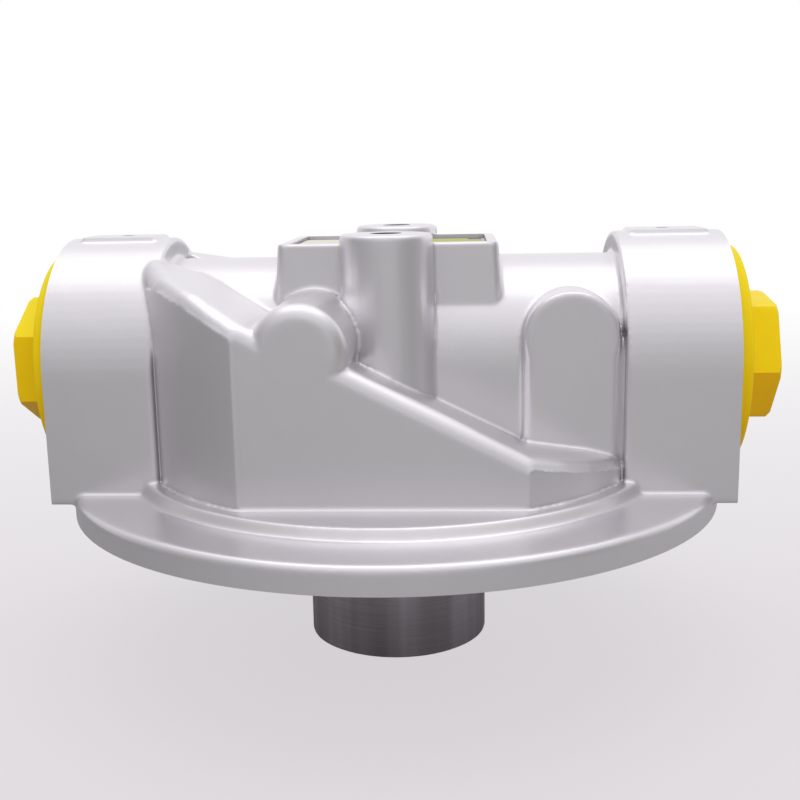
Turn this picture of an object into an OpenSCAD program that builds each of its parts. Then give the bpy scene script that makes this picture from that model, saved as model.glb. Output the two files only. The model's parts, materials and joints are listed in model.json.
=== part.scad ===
// Spin-on hydraulic filter head: one casting with two side ports, a threaded
// spigot for the canister and a spring-loaded bypass valve inside.
// Origin: spigot axis at the canister sealing plane. X runs from port to port, Z is up.

/* [Canister seat] */
// Diameter of the disc that the canister seals against
disc_d = 157; // [150:0.5:166]
// Thickness of the disc at its rim
disc_t = 5.9; // [5:0.1:8]
// Rounding of the disc's upper rim
disc_edge_r = 1.6; // [0.5:0.1:2.4]
// Diameter of the raised step at its foot
step_d = 129; // [124:0.5:134]
// Height of the raised step above the disc
step_h = 2.6; // [1.5:0.1:4]
// How far the step leans in over its height
step_lean = 1.5; // [0:0.1:3]
// Inner diameter of the sealing land under the disc
land_inner_d = 110; // [100:0.5:113]
// Depth of the ring-shaped oil channel above the sealing plane
channel_depth = 4; // [2.5:0.1:4.5]

/* [Spigot] */
// Outer diameter of the spigot that carries the canister
spigot_d = 44.45; // [40:0.05:48]
// Length of the spigot below the sealing plane
spigot_len = 37.4; // [30:0.1:45]
// Bore through the spigot
spigot_bore_d = 35; // [28:0.5:37]
// Length of the spigot screwed into the casting
spigot_grip = 13; // [8:0.1:14]
// Chamfer on the spigot's free end
spigot_chamfer = 0.8; // [0.3:0.1:1.5]
// Width of the thread relief where the spigot enters the casting
spigot_relief_w = 1.5; // [1:0.1:2.5]
// Depth of the thread relief
spigot_relief_depth = 0.6; // [0.3:0.1:1]
// Outer diameter of the hub that the spigot screws into
hub_d = 60; // [56:0.5:64]
// Distance of the hub's face above the sealing plane
hub_recess = 1; // [0.5:0.1:1.5]

/* [Ports] */
// Distance between the two port faces
port_span = 156.4; // [150:0.2:164]
// Height of the port axis above the sealing plane
port_axis_z = 33; // [31.5:0.1:36]
// Width of each port boss
port_boss_d = 60.2; // [56:0.2:64]
// Length of each port boss along the port axis
port_boss_len = 25.1; // [22:0.1:26]
// Height of the bosses' feet above the sealing plane
port_boss_foot_z = 3.6; // [2:0.1:5]
// Major diameter of the port thread
port_thread_d = 41.9; // [38:0.1:44]
// Depth of the port thread
port_thread_len = 20; // [17:0.5:22]
// Chamfer at the mouth of each port
port_chamfer = 1; // [0.5:0.1:2]
// Bore of the oil passage behind the port threads
passage_d = 36; // [32:0.5:37]
// Outer width of the tube between the port bosses
tube_d = 49.8; // [48:0.2:53]

/* [Crest pads] */
// Length of the raised pad on each port boss
crest_len = 18; // [12:0.5:20]
// Width of the raised pad
crest_w = 13; // [8:0.5:16]
// Height of the raised pad above the boss
crest_h = 0.6; // [0.3:0.1:1.2]
// Diameter of the dimple in the pad
crest_dimple_d = 3; // [2:0.1:5]
// Depth of the dimple in the pad
crest_dimple_depth = 0.8; // [0.4:0.1:1.5]

/* [Oil chamber] */
// Diameter of the chamber wall
chamber_d = 120; // [118:0.5:122]
// Distance of the chamber's flat front from the spigot axis
chamber_front = 51.6; // [50:0.1:54]
// Rounding along the chamber's upper edges
chamber_edge_r = 3.6; // [2:0.1:4.5]
// Height of the chamber roof beside the inlet boss
roof_high_z = 58.6; // [55:0.1:60]
// Height of the roof halfway to the valve dome
roof_mid_z = 53.4; // [50:0.1:55]
// Height of the roof under the valve dome
roof_dome_z = 41; // [38:0.1:43]
// Height of the roof where the long slope starts
slope_top_z = 43; // [40:0.1:45]
// Height of the roof at the foot of the long slope
slope_foot_z = 19.6; // [17:0.1:22]
// Height of the roof beside the outlet boss
low_block_z = 13; // [11.5:0.1:16]
// Distance that the roof drops towards the tube on the outlet side
roof_dip = 2.6; // [0:0.1:4]
// Thickness of the chamber's side walls
chamber_wall = 6; // [4.5:0.1:7]
// Thickness of the chamber's roof
roof_wall = 7; // [5:0.1:8]

/* [Valve dome] */
// Radius of the dome on the chamber front
dome_r = 10.4; // [9:0.1:12]
// Distance of the dome from the spigot axis towards the inlet
dome_offset = 16.8; // [15:0.1:19]
// Height of the dome axis
dome_axis_z = 41.4; // [40:0.1:43]

/* [Front pad] */
// Width of the arched pad beside the outlet boss
pad_w = 21.6; // [18:0.1:22]
// Distance of the pad's centre line from the spigot axis
pad_x = 41.3; // [40:0.1:42]
// Distance of the pad's face from the spigot axis
pad_face = 28; // [26:0.1:29]
// Height of the centre of the pad's arch
pad_arch_z = 40.6; // [38:0.1:44]
// Rounding along the pad's edge
pad_edge_r = 1; // [0.3:0.1:2]

/* [Mounting bosses] */
// Distance between the two mounting holes
mount_spacing = 44.4; // [42:0.1:46]
// Diameter of each mounting boss at its top
mount_boss_d = 21; // [19:0.2:22]
// Growth of the boss diameter down to its foot
mount_boss_draft = 1.4; // [0:0.1:2]
// Height of the mounting faces above the sealing plane
mount_top_z = 64.4; // [63:0.1:68]
// Rounding of each boss's top edge
mount_edge_r = 1; // [0.3:0.1:2]
// Tapping diameter of the mounting holes
mount_tap_d = 6.8; // [5:0.1:8.5]
// Depth of the mounting holes
mount_tap_depth = 14; // [10:0.5:16]

/* [Label pad] */
// Length of the label pad at its top
label_pad_l = 50.6; // [46:0.2:54]
// Width of the label pad at its top
label_pad_w = 38.4; // [34:0.2:42]
// Height of the label pad's rim above the sealing plane
label_pad_z = 62; // [60.5:0.1:63]
// Growth of the pad at each side down to the tube
label_pad_draft = 1; // [0:0.1:2]
// Radius of the pad's corners
label_pad_corner_r = 2; // [1:0.1:4]
// Width of the rim round the label pocket
label_rim = 2.6; // [2:0.1:4]
// Depth of the label pocket
label_depth = 1; // [0.6:0.1:1.5]
// Gap between the name plate and the pocket's walls
plate_gap = 0.8; // [0.3:0.1:1.5]
// Thickness of the name plate
plate_t = 0.4; // [0.2:0.1:0.6]

/* [Port plugs] */
// Diameter of the plug's flange
plug_flange_d = 52.8; // [48:0.2:56]
// Thickness of the plug's flange
plug_flange_t = 3.4; // [2:0.1:5]
// Width across the flats of the plug's hexagon
plug_hex_af = 27.4; // [24:0.1:32]
// How far the plug stands out from the port face
plug_height = 12.5; // [9:0.1:16]
// Chamfer on the hexagon's outer corners
plug_hex_chamfer = 1.2; // [0.4:0.1:2]
// Length of the plug's shank inside the port
plug_shank_len = 14; // [10:0.5:16]
// Wall thickness of the hollow plug
plug_wall = 2.2; // [1.5:0.1:3]
// Turn of the inlet plug's hexagon
inlet_plug_turn = 5; // [0:1:59]
// Turn of the outlet plug's hexagon
outlet_plug_turn = 21; // [0:1:59]

/* [Bypass valve] */
// Distance of the valve's mounting face from the spigot axis
valve_face = 18; // [17.5:0.1:19]
// Thickness of the wall between inlet and outlet
partition_t = 6; // [5:0.1:7]
// Diameter of the valve body inside the partition
valve_neck_d = 26; // [25:0.1:27]
// Diameter of the valve body's flange and cage
valve_cage_d = 32; // [31:0.1:33]
// Thickness of the valve body's flange
valve_flange_t = 3; // [2.6:0.1:4]
// Diameter of the valve seat's bore
seat_d = 20; // [18:0.1:21]
// Wall thickness of the cage
cage_wall = 2; // [1.6:0.1:2.4]
// Number of windows in the cage
cage_windows = 4; // [3:1:4]
// Width of each window in the cage
window_w = 13; // [9:0.5:14]
// Length of each window in the cage
window_l = 13; // [9:0.5:14]
// Distance from the valve seat to the windows
window_start = 1; // [0.6:0.1:2]
// Thickness of the cage's end rim beyond the windows
cage_rim = 6; // [5:0.1:7]
// Distance that the valve opens
valve_lift = 6; // [4:0.1:7]
// Diameter of the poppet's plate
poppet_d = 25; // [23.5:0.1:26]
// Thickness of the poppet's plate
poppet_t = 3; // [2.5:0.1:4]
// Diameter of the poppet's stem
stem_d = 8; // [6.5:0.1:9]
// Thickness of the rubber sealing disc
seal_t = 2; // [1.5:0.1:3]
// Diameter of the washer that clamps the sealing disc
clamp_d = 15; // [12:0.1:16]
// Thickness of the clamping washer
clamp_t = 1.2; // [1:0.1:2]
// Diameter of the screw in the poppet
screw_d = 4; // [3:0.1:5]
// Diameter of that screw's head
screw_head_d = 7; // [6:0.1:8]
// Height of that screw's head
screw_head_h = 4; // [3:0.1:5]
// Width across the flats of the screw's socket
screw_socket_af = 3; // [2.5:0.1:4]
// Length of the screw in the poppet
screw_grip = 8; // [6:0.1:9]
// Wire diameter of the bypass spring
spring_wire_d = 1.6; // [1.2:0.1:1.8]
// Mean diameter of the bypass spring
spring_mean_d = 17; // [15:0.1:18]
// Number of turns in the bypass spring
spring_turns = 4; // [3.5:0.5:4.5]
// Travel left in the bypass spring when the valve is fully open
spring_reserve = 0.6; // [0.4:0.1:1.5]
// Thickness of the spring retainer
retainer_t = 2; // [1.6:0.1:3]
// Diameter of each oil hole in the spring retainer
retainer_hole_d = 3; // [2:0.1:3.2]
// Thickness of the retaining ring
ring_t = 1.2; // [1:0.1:1.5]
// Radial width of the retaining ring
ring_w = 2.6; // [2.2:0.1:3]
// Depth of the retaining ring's groove
ring_groove = 0.9; // [0.6:0.1:1]
// Section diameter of the valve body's sealing ring
o_ring_d = 1.6; // [1.4:0.1:1.8]

/* [Fits] */
// Radial clearance of screwed and seated parts
screwed_fit = 0.04; // [0.02:0.01:0.08]
// Radial clearance of sliding parts
sliding_fit = 0.06; // [0.04:0.01:0.1]
// Gap between pieces that only rest on each other
rest_gap = 0.03; // [0.01:0.01:0.05]

/* [Hidden] */
$fn = 96;
port_face_x = port_span / 2;
boss_inner_x = port_face_x - port_boss_len;
boss_r = port_boss_d / 2;
tube_r = tube_d / 2;
chamber_r = chamber_d / 2;
chamber_inner_r = land_inner_d / 2;
step_top_z = disc_t + step_h;
foot_z = disc_t - 1;
overcut = 1;

// Plan radius and front line on which the centres of the rounded upper edge lie,
// and where that line meets that radius.
edge_plan_r = chamber_r - chamber_edge_r;
edge_front = chamber_front - chamber_edge_r;
slope_foot_x = sqrt(pow(edge_plan_r, 2) - pow(edge_front, 2));
roof_mid_x = -(boss_inner_x + dome_offset + dome_r) / 2;
roof_high_x = -(boss_inner_x + 1);
low_block_x = boss_inner_x + 1;

mount_y = mount_spacing / 2;
pocket_floor_z = label_pad_z - label_depth;
plug_hex_r = plug_hex_af / sqrt(3);
plug_shank_r = port_thread_d / 2 - screwed_fit;

spring_len = valve_lift + spring_turns * spring_wire_d + spring_reserve;
partition_x = -(valve_face + partition_t);
seat_x = -valve_face + valve_flange_t;
poppet_x = seat_x + seal_t;
spring_x = poppet_x + poppet_t;
retainer_x = spring_x + spring_len;
ring_x = retainer_x + retainer_t;
cage_end_x = retainer_x + cage_rim - ring_w / 2;
cage_inner_r = valve_cage_d / 2 - cage_wall;
o_ring_mean_r = (valve_neck_d + valve_cage_d) / 4;

// Height of the chamber roof on the inlet side, which falls in two straight stretches.
function roof_left_z(x) = x < roof_mid_x
    ? roof_mid_z + (roof_high_z - roof_mid_z) * (roof_mid_x - x) / (roof_mid_x - roof_high_x)
    : roof_mid_z + (roof_dome_z - roof_mid_z) * (x - roof_mid_x) / (-dome_offset - roof_mid_x);
// Height of the long slope on the outlet side.
function slope_z(x) = slope_top_z
    + (slope_foot_z - slope_top_z) * (x + dome_offset) / (slope_foot_x + dome_offset);
// Height of the low block beside the outlet boss.
function low_z(x) = slope_foot_z
    + (low_block_z - slope_foot_z) * (x - slope_foot_x) / (low_block_x - slope_foot_x);
// Distance of the rounded edge's centre from the XZ plane at a given x.
function edge_y(x) = abs(x) < edge_plan_r
    ? min(edge_front, sqrt(pow(edge_plan_r, 2) - pow(x, 2))) : 0;

// Lays a shape that was drawn along Z down along X.
module along_x(x) {
    translate([x, 0, port_axis_z]) rotate([0, 90, 0]) children();
}

// Solid with a half-round crown and straight sides down to a foot.
module arch(width, length, foot) {
    rotate([90, 0, 90]) linear_extrude(length) union() {
        translate([0, port_axis_z]) circle(d = width);
        translate([-width / 2, foot]) square([width, port_axis_z - foot]);
    }
}

// Upright post whose top edge is rounded.
module rounded_post(foot_r, top_r, height, edge) {
    cylinder(r1 = foot_r, r2 = top_r, h = height - edge);
    translate([0, 0, height - edge]) rotate_extrude() {
        square([top_r - edge, edge]);
        intersection() {
            translate([top_r - edge, 0]) circle(edge, $fn = 24);
            square([top_r, edge]);
        }
    }
}

// One convex block of the chamber: stations along x, each with a roof height.
module roof_block(stations, back_y, dip) {
    hull() for (s = stations) {
        translate([s[0], -edge_y(s[0]), 0]) {
            translate([0, 0, s[1] - chamber_edge_r]) sphere(chamber_edge_r, $fn = 20);
            translate([0, 0, foot_z]) cylinder(r = chamber_edge_r, h = overcut, $fn = 20);
        }
        translate([s[0], -back_y, foot_z]) cylinder(r = 0.5, h = s[1] - dip - foot_z, $fn = 4);
    }
}

module disc_and_step() {
    rotate_extrude() {
        square([disc_d / 2, disc_t - disc_edge_r]);
        square([disc_d / 2 - disc_edge_r, disc_t]);
        intersection() {
            translate([disc_d / 2 - disc_edge_r, disc_t - disc_edge_r])
                circle(disc_edge_r, $fn = 24);
            square([disc_d / 2, disc_t]);
        }
    }
    translate([0, 0, foot_z])
        cylinder(r = step_d / 2, h = disc_t - foot_z);
    translate([0, 0, disc_t])
        cylinder(r1 = step_d / 2, r2 = step_d / 2 - step_lean, h = step_h);
}

// Chamber block on the inlet side, as high as the port boss.
module inlet_chamber() {
    corner = -slope_foot_x;
    turns = [for (t = [0 : 0.25 : 1]) corner + t * (roof_high_x - corner)];
    xs = concat(turns, [roof_mid_x, -dome_offset]);
    roof_block([for (x = xs) [x, roof_left_z(x)]], tube_r / 2, 0);
}

// Chamber block whose roof slopes down to the outlet side.
module sloping_chamber() {
    xs = [-dome_offset, slope_foot_x];
    roof_block([for (x = xs) [x, slope_z(x)]], tube_r - 2, roof_dip);
}

// Low chamber block beside the outlet boss.
module low_chamber() {
    xs = [for (t = [0 : 0.25 : 1]) slope_foot_x + t * (low_block_x - slope_foot_x)];
    roof_block([for (x = xs) [x, low_z(x)]], tube_r - 2, roof_dip);
}

module chamber_side() {
    inlet_chamber();
    sloping_chamber();
    low_chamber();
}

module valve_dome() {
    translate([-dome_offset, 0, dome_axis_z]) rotate([90, 0, 0])
        rounded_post(dome_r, dome_r, chamber_front, chamber_edge_r);
}

module port_boss() {
    translate([boss_inner_x, 0, 0]) arch(port_boss_d, port_boss_len, port_boss_foot_z);
    translate([boss_inner_x + port_boss_len / 2, 0, 0])
        translate([-crest_len / 2, -crest_w / 2, port_axis_z + boss_r * 0.9])
            cube([crest_len, crest_w, boss_r * 0.1 + crest_h]);
}

module front_pad() {
    translate([pad_x, 0, 0]) rotate([90, 0, 0]) {
        translate([0, pad_arch_z, 0])
            rounded_post(pad_w / 2, pad_w / 2, pad_face, pad_edge_r);
        linear_extrude(pad_face - pad_edge_r)
            translate([-pad_w / 2, foot_z]) square([pad_w, pad_arch_z - foot_z]);
        linear_extrude(pad_face) translate([-pad_w / 2 + pad_edge_r, foot_z])
            square([pad_w - 2 * pad_edge_r, pad_arch_z - foot_z]);
    }
}

module mounting_boss() {
    translate([0, mount_y, foot_z])
        rounded_post((mount_boss_d + mount_boss_draft) / 2, mount_boss_d / 2,
            mount_top_z - foot_z, mount_edge_r);
}

module rounded_rectangle(length, width, corner, height) {
    for (sx = [-1, 1], sy = [-1, 1])
        translate([sx * (length / 2 - corner), sy * (width / 2 - corner), 0])
            cylinder(r = corner, h = height, $fn = 24);
    translate([-length / 2 + corner, -width / 2, 0])
        cube([length - 2 * corner, width, height]);
    translate([-length / 2, -width / 2 + corner, 0])
        cube([length, width - 2 * corner, height]);
}

module label_pad() {
    hull() {
        translate([0, 0, label_pad_z - overcut])
            rounded_rectangle(label_pad_l, label_pad_w, label_pad_corner_r, overcut);
        translate([0, 0, port_axis_z + tube_r / 2])
            rounded_rectangle(label_pad_l + 2 * label_pad_draft,
                label_pad_w + 2 * label_pad_draft, label_pad_corner_r, overcut);
    }
}

module label_pocket() {
    difference() {
        translate([0, 0, pocket_floor_z])
            rounded_rectangle(label_pad_l - 2 * label_rim, label_pad_w - 2 * label_rim,
                label_pad_corner_r / 2, mount_top_z);
        mounting_boss();
        mirror([0, 1, 0]) mounting_boss();
    }
}

// Space inside one side of the chamber, open downwards.
module chamber_cavity() {
    inner_front = chamber_front - chamber_wall;
    intersection() {
        translate([0, 0, -overcut]) cylinder(r = chamber_inner_r, h = roof_high_z);
        rotate([90, 0, 0]) linear_extrude(inner_front) polygon([
            [-chamber_r, -overcut],
            [-chamber_r, roof_left_z(roof_high_x) - roof_wall],
            [roof_mid_x, roof_mid_z - roof_wall],
            [partition_x, roof_left_z(partition_x) - roof_wall],
            [-dome_offset, slope_top_z - 2 * roof_wall],
            [slope_foot_x, slope_foot_z - roof_wall - roof_dip / 2],
            [chamber_inner_r, channel_depth],
            [chamber_r, -overcut]]);
    }
}

// What stays solid inside the chamber: the hub, the outlet passage and the inlet's crown.
module chamber_core() {
    cylinder(d = hub_d, h = spigot_grip + 1);
    translate([partition_x, 0, 0]) arch(tube_d, 2 * port_face_x, -2 * overcut);
    translate([-port_face_x, -tube_r, port_axis_z]) cube([port_face_x, tube_d, tube_d]);
}

module oil_chamber() {
    difference() {
        union() {
            chamber_cavity();
            mirror([0, 1, 0]) chamber_cavity();
            rotate_extrude() translate([hub_d / 2, -overcut])
                square([(land_inner_d - hub_d) / 2, channel_depth + overcut]);
            translate([0, 0, -overcut])
                cylinder(d = land_inner_d, h = overcut + hub_recess);
        }
        difference() {
            chamber_core();
            rotate_extrude() translate([hub_d / 2, -3 * overcut])
                square([(land_inner_d - hub_d) / 2, channel_depth + 3 * overcut]);
            translate([0, 0, -3 * overcut])
                cylinder(d = land_inner_d, h = 3 * overcut + hub_recess);
        }
    }
}

// Threaded port: mouth chamfer, thread bore and the passage behind it.
module port_bore(inner_x) {
    along_x(inner_x) cylinder(d = passage_d, h = port_face_x - inner_x);
    along_x(port_face_x - port_thread_len)
        cylinder(d = port_thread_d, h = port_thread_len + overcut);
    along_x(port_face_x - port_chamfer)
        cylinder(d1 = port_thread_d, d2 = port_thread_d + 2 * port_chamfer,
            h = port_chamfer);
}

module mounting_hole() {
    translate([0, mount_y, mount_top_z - mount_tap_depth])
        cylinder(d = mount_tap_d, h = mount_tap_depth + overcut);
}

module crest_dimple(x) {
    translate([x, 0, port_axis_z + boss_r + crest_h - crest_dimple_depth])
        cylinder(d = crest_dimple_d, h = overcut + crest_dimple_depth);
}

module head_casting() {
    color("gainsboro") difference() {
        union() {
            disc_and_step();
            translate([-boss_inner_x, 0, 0]) arch(tube_d, 2 * boss_inner_x, foot_z);
            port_boss();
            mirror([1, 0, 0]) port_boss();
            chamber_side();
            mirror([0, 1, 0]) chamber_side();
            valve_dome();
            front_pad();
            label_pad();
            mounting_boss();
            mirror([0, 1, 0]) mounting_boss();
        }
        oil_chamber();
        port_bore(-valve_face);
        mirror([1, 0, 0]) port_bore(-partition_x);
        along_x(partition_x - overcut)
            cylinder(d = valve_neck_d + 2 * screwed_fit, h = partition_t + 2 * overcut);
        translate([0, 0, -overcut])
            cylinder(d = spigot_d + 2 * screwed_fit, h = spigot_grip + overcut);
        cylinder(d = spigot_bore_d, h = port_axis_z);
        label_pocket();
        mounting_hole();
        mirror([0, 1, 0]) mounting_hole();
        for (side = [-1, 1])
            crest_dimple(side * (boss_inner_x + port_boss_len / 2));
    }
}

module centre_spigot() {
    color("dimgray") difference() {
        union() {
            translate([0, 0, -spigot_len + spigot_chamfer])
                cylinder(d = spigot_d, h = spigot_len + spigot_grip - spigot_chamfer);
            translate([0, 0, -spigot_len])
                cylinder(d1 = spigot_d - 2 * spigot_chamfer, d2 = spigot_d,
                    h = spigot_chamfer);
        }
        translate([0, 0, -spigot_len - overcut])
            cylinder(d = spigot_bore_d, h = spigot_len + spigot_grip + 2 * overcut);
        rotate_extrude() translate([spigot_d / 2 - spigot_relief_depth, 0])
            square([overcut + spigot_relief_depth, spigot_relief_w]);
    }
}

// Moulded screw plug, drawn with its flange's sealing side at z = 0.
module port_plug(turn) {
    difference() {
        union() {
            translate([0, 0, -plug_shank_len])
                cylinder(r = plug_shank_r, h = plug_shank_len);
            cylinder(d = plug_flange_d, h = plug_flange_t);
            intersection() {
                rotate(turn) cylinder(r = plug_hex_r, h = plug_height, $fn = 6);
                union() {
                    cylinder(r = plug_hex_r, h = plug_height - plug_hex_chamfer);
                    translate([0, 0, plug_height - plug_hex_chamfer])
                        cylinder(r1 = plug_hex_r, r2 = plug_hex_r - 2 * plug_hex_chamfer,
                            h = plug_hex_chamfer);
                }
            }
        }
        translate([0, 0, -plug_shank_len - overcut])
            cylinder(r = plug_shank_r - plug_wall, h = plug_shank_len + overcut);
        translate([0, 0, -overcut])
            cylinder(d = plug_hex_af - 2 * plug_wall, h = plug_height - plug_wall + overcut);
    }
}

module inlet_port_plug() {
    color("gold") mirror([1, 0, 0]) along_x(port_face_x) port_plug(inlet_plug_turn + 30);
}

module outlet_port_plug() {
    color("gold") along_x(port_face_x) port_plug(outlet_plug_turn + 30);
}

module name_plate() {
    plate_l = label_pad_l - 2 * label_rim - 2 * plate_gap;
    plate_w = 2 * (mount_y - (mount_boss_d + mount_boss_draft) / 2 - plate_gap);
    color("beige") translate([-plate_l / 2, -plate_w / 2, pocket_floor_z])
        cube([plate_l, plate_w, plate_t]);
}

module valve_body() {
    color("silver") difference() {
        union() {
            along_x(partition_x) cylinder(d = valve_neck_d, h = partition_t);
            along_x(-valve_face) cylinder(d = valve_cage_d, h = cage_end_x + valve_face);
        }
        along_x(partition_x - overcut)
            cylinder(d = seat_d, h = cage_end_x - partition_x + 2 * overcut);
        along_x(seat_x) cylinder(r = cage_inner_r, h = cage_end_x - seat_x + overcut);
        along_x(ring_x) cylinder(r = cage_inner_r + ring_groove, h = ring_t + 2 * rest_gap);
        along_x(-valve_face - overcut) difference() {
            cylinder(r = o_ring_mean_r + o_ring_d / 2 + rest_gap, h = overcut + o_ring_d);
            cylinder(r = o_ring_mean_r - o_ring_d / 2 - rest_gap, h = overcut + o_ring_d);
        }
        for (i = [0 : cage_windows - 1])
            translate([0, 0, port_axis_z]) rotate([(i + 0.5) * 360 / cage_windows, 0, 0])
                translate([seat_x + window_start, -window_w / 2, 0])
                    cube([window_l, window_w, valve_cage_d]);
    }
}

module valve_body_o_ring() {
    color("black") along_x(-valve_face + o_ring_d / 2) rotate_extrude()
        translate([o_ring_mean_r, 0]) circle(d = o_ring_d - 2 * rest_gap, $fn = 24);
}

module bypass_poppet() {
    color("goldenrod") difference() {
        union() {
            along_x(poppet_x) cylinder(d = poppet_d, h = poppet_t);
            along_x(poppet_x) cylinder(d = stem_d, h = cage_end_x - poppet_x + 1);
        }
        along_x(poppet_x - overcut) cylinder(d = screw_d, h = screw_grip + overcut);
    }
}

module poppet_seal() {
    color("black") along_x(seat_x) difference() {
        cylinder(d = poppet_d, h = seal_t);
        translate([0, 0, -overcut]) cylinder(d = screw_d, h = seal_t + 2 * overcut);
    }
}

module seal_clamp_washer() {
    color("silver") along_x(seat_x - clamp_t) difference() {
        cylinder(d = clamp_d, h = clamp_t);
        translate([0, 0, -overcut]) cylinder(d = screw_d, h = clamp_t + 2 * overcut);
    }
}

module seal_screw() {
    head_x = seat_x - clamp_t - screw_head_h;
    color("dimgray") difference() {
        union() {
            along_x(head_x) cylinder(d = screw_head_d, h = screw_head_h);
            along_x(head_x) cylinder(d = screw_d,
                h = screw_head_h + clamp_t + seal_t + screw_grip - 1);
        }
        along_x(head_x - overcut)
            cylinder(d = screw_socket_af * 2 / sqrt(3), h = screw_head_h / 2 + overcut,
                $fn = 6);
    }
}

// Point on the spring's wire after a given number of turns; both end turns lie flat.
function spring_rise(turn) =
    let (flat = 1, free = spring_turns - 2 * flat,
        rest = spring_len - 2 * rest_gap - 3 * spring_wire_d,
        share = min(max((turn - flat) / free, 0), 1),
        dead = min(turn, flat) + max(turn - spring_turns + flat, 0))
    rest_gap + spring_wire_d / 2 + dead * spring_wire_d + share * rest;

function spring_point(turn, around) =
    let (a = 360 * turn, r = spring_mean_d / 2 + spring_wire_d / 2 * cos(around))
    [r * cos(a), r * sin(a), spring_rise(turn) + spring_wire_d / 2 * sin(around)];

module bypass_spring() {
    steps = 24;
    sides = 8;
    rings = ceil(spring_turns * steps);
    points = [for (i = [0 : rings], j = [0 : sides - 1])
        spring_point(i * spring_turns / rings, j * 360 / sides)];
    walls = [for (i = [0 : rings - 1], j = [0 : sides - 1])
        [i * sides + j, i * sides + (j + 1) % sides,
            (i + 1) * sides + (j + 1) % sides, (i + 1) * sides + j]];
    start_cap = [[for (j = [sides - 1 : -1 : 0]) j]];
    end_cap = [[for (j = [0 : sides - 1]) rings * sides + j]];
    color("lightsteelblue") along_x(spring_x)
        polyhedron(points, concat(walls, start_cap, end_cap), convexity = 8);
}

module spring_retainer() {
    color("silver") along_x(retainer_x) difference() {
        cylinder(r = cage_inner_r - sliding_fit, h = retainer_t);
        translate([0, 0, -overcut])
            cylinder(d = stem_d + 2 * sliding_fit, h = retainer_t + 2 * overcut);
        for (i = [0 : 5]) rotate(i * 60)
            translate([(cage_inner_r + stem_d / 2 + spring_wire_d) / 2, 0, -overcut])
                cylinder(d = retainer_hole_d, h = retainer_t + 2 * overcut, $fn = 24);
    }
}

module retaining_ring() {
    outer_r = cage_inner_r + ring_groove - rest_gap;
    color("dimgray") along_x(ring_x + rest_gap) difference() {
        cylinder(r = outer_r, h = ring_t);
        translate([0, 0, -overcut])
            cylinder(r = outer_r - ring_w, h = ring_t + 2 * overcut);
        rotate(90) translate([0, -ring_w, -overcut])
            cube([2 * outer_r, 2 * ring_w, ring_t + 2 * overcut]);
    }
}

head_casting();
centre_spigot();
inlet_port_plug();
outlet_port_plug();
name_plate();
valve_body();
valve_body_o_ring();
bypass_poppet();
poppet_seal();
seal_clamp_washer();
seal_screw();
bypass_spring();
spring_retainer();
retaining_ring();
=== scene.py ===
"""Dresses the spin-on hydraulic filter head: cast metal, plugs, spigot, valve and studio."""

from __future__ import annotations

import json
import logging
import math
from collections.abc import Callable, Iterable, Sequence
from dataclasses import dataclass
from enum import Enum
from typing import Any

import bmesh
import bpy
from mathutils import Matrix, Vector

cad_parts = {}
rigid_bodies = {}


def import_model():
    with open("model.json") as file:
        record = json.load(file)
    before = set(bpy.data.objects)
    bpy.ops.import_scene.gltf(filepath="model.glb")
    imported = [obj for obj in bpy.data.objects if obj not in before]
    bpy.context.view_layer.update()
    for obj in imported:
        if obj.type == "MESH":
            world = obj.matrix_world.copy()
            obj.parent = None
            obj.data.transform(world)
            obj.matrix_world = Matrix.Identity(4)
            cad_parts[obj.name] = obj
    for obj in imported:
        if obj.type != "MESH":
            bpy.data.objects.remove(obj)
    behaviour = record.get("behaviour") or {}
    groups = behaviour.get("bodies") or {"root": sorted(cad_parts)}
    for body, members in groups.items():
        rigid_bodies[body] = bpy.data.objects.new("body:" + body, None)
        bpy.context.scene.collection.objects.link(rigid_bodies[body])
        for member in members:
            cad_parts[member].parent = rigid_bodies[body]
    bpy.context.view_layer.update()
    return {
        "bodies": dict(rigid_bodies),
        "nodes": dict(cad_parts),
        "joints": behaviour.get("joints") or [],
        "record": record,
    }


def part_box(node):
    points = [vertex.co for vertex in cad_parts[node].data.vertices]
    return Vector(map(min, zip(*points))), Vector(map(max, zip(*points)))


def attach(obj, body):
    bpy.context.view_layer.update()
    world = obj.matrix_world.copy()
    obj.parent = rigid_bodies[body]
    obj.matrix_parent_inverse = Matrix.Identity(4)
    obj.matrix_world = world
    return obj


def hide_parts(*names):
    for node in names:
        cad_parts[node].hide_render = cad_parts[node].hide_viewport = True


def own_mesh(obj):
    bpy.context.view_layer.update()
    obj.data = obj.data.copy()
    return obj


LOG = logging.getLogger("filter_head")
MM = 0.001
HEAD_BODY = "head"
PORT_FACE_X = 78.2 * MM
PORT_AXIS_Z = 33.0 * MM
FOOT_Z = -37.4 * MM
WELD = 1e-6
LEVEL_SLACK = 0.1 * MM
TOOL_CREASE = 30.0
PLUG_CREASE = 28.0

Colour = tuple[float, float, float]
Size = tuple[float, float, float]
Span = tuple[float, float]


class Slot(Enum):
    """Names of the record's material slots, one for each dressed piece."""

    CASTING = "cast_aluminium"
    SPIGOT = "spigot_steel"
    PLUG = "plug_plastic"
    LABEL = "label_film"
    SPRING = "spring_steel"


class Side(Enum):
    """The end of the head that a port lies on."""

    INLET = -1
    OUTLET = 1


class Coat(Enum):
    """The casting's finishes and the painted shade of its holes, numbered as its material slots
    are.
    """

    CAST = 0
    MACHINED = 1
    # Near-black painted shade inside the mounting holes.
    DRILLED = 2


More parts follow.
